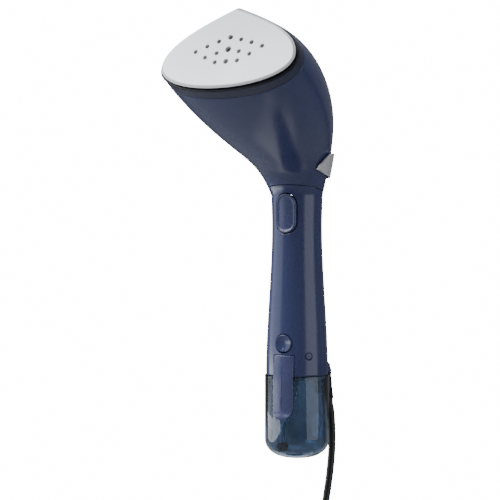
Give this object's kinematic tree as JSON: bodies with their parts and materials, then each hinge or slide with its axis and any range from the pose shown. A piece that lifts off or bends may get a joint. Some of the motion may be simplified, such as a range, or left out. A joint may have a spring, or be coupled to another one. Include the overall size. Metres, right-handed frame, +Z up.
{
  "type": "handheld garment steamer",
  "caption": "Handheld garment steamer with a slanted steam plate, hinged trigger, push button, sliding steam lock, clip-in clear water tank and a hanked mains cord with plug.",
  "frame": {"origin": "middle of the hand grip, on its axis", "axes": "+Z up along the grip towards the head, -Y the way the steam plate faces, +X to the right of someone who looks at the steam plate"},
  "size_m": [0.1148, 0.159, 0.5677],
  "materials": {
    "navy_plastic": "glossy",
    "dark_navy_plastic": "satin",
    "silver_plastic": "metallic paint, satin",
    "plate_coating": "satin coated aluminium",
    "black_rubber": "matt",
    "cast_aluminium": "as cast",
    "steel": "plain",
    "copper_coil": "enamelled copper wire",
    "white_plastic": "matt",
    "board_green": "solder mask",
    "black_plastic": "fine satin",
    "smoked_clear_plastic": "clear, smoked",
    "silicone": "satin",
    "lit_lens": "clear",
    "cord_pvc": "satin"
  },
  "bodies": {
    "handle": {"button_switch": "black_plastic", "capacitor": "black_plastic", "chamber_cover": "cast_aluminium", "chamber_screw_1": "steel", "chamber_screw_2": "steel", "chamber_screw_3": "steel", "circuit_board": "board_green", "clamp_screw_1": "steel", "clamp_screw_2": "steel", "cord": "cord_pvc", "cord_clamp": "white_plastic", "cord_hank": "cord_pvc", "cord_tie": "black_plastic", "handle_front_shell": "navy_plastic", "handle_rear_shell": "navy_plastic", "handle_screw_1": "steel", "handle_screw_2": "steel", "handle_screw_3": "steel", "handle_screw_4": "steel", "head_housing": "navy_plastic", "heat_collar": "dark_navy_plastic", "heater_lead": "white_plastic", "heating_element": "steel", "latch_pin": "steel", "latch_spring": "steel", "mains_lead": "black_plastic", "plate_gasket": "black_rubber", "plug": "black_plastic", "plug_pin_1": "steel", "plug_pin_2": "steel", "pump_body": "black_plastic", "pump_coil": "copper_coil", "pump_spring": "steel", "pump_valve": "white_plastic", "screw_cap_left": "navy_plastic", "screw_cap_right": "navy_plastic", "steam_chamber": "cast_aluminium", "steam_nozzle": "cast_aluminium", "steam_plate": "plate_coating", "strain_relief": "black_rubber", "tank_socket": "white_plastic", "thermal_fuse": "white_plastic", "thermostat": "steel", "trigger_pin": "steel", "trigger_spring": "steel", "trigger_switch": "black_plastic", "water_hose_lower": "silicone", "water_hose_upper": "silicone"},
    "trigger": {"trigger": "navy_plastic"},
    "power_button": {"power_button": "navy_plastic", "power_light": "lit_lens"},
    "lock_slider": {"lock_slider": "silver_plastic"},
    "tank": {"tank": "smoked_clear_plastic", "tank_lid": "white_plastic", "tank_seal": "black_rubber", "suction_tube": "silicone", "inlet_filter": "black_plastic", "air_valve": "white_plastic"},
    "tank_latch": {"tank_latch": "navy_plastic"},
    "pump_plunger": {"pump_plunger": "steel"}
  },
  "joints": [
    {"name": "trigger_press", "type": "hinge", "parent": "handle", "child": "trigger", "pos_m": [0, -0.015, 0.064], "axis": [1, 0, 0], "range_deg": [0, 5], "stiffness_Nm_per_rad": 0.5, "springref_deg": -2, "deforming": ["trigger_spring"]},
    {"name": "power_button_press", "type": "slide", "parent": "handle", "child": "power_button", "axis": [0, 1, 0], "range_m": [0, 0.001], "stiffness_N_per_m": 800, "springref_m": -0.0005},
    {"name": "steam_lock_slide", "type": "slide", "parent": "handle", "child": "lock_slider", "axis": [0, 0.1302, -0.9915], "range_m": [0, 0.005]},
    {"name": "tank_release", "type": "slide", "parent": "handle", "child": "tank", "axis": [0, 0, -1], "range_m": [0, 0.048]},
    {"name": "latch_release", "type": "hinge", "parent": "handle", "child": "tank_latch", "pos_m": [0, -0.019, -0.066], "axis": [-1, 0, 0], "range_deg": [0, 4.5], "stiffness_Nm_per_rad": 0.8, "springref_deg": -2, "deforming": ["latch_spring"]},
    {"name": "pump_stroke", "type": "slide", "parent": "handle", "child": "pump_plunger", "axis": [0, 0, 1], "range_m": [0, 0.003], "stiffness_N_per_m": 400, "deforming": ["pump_spring"]}
  ]
}
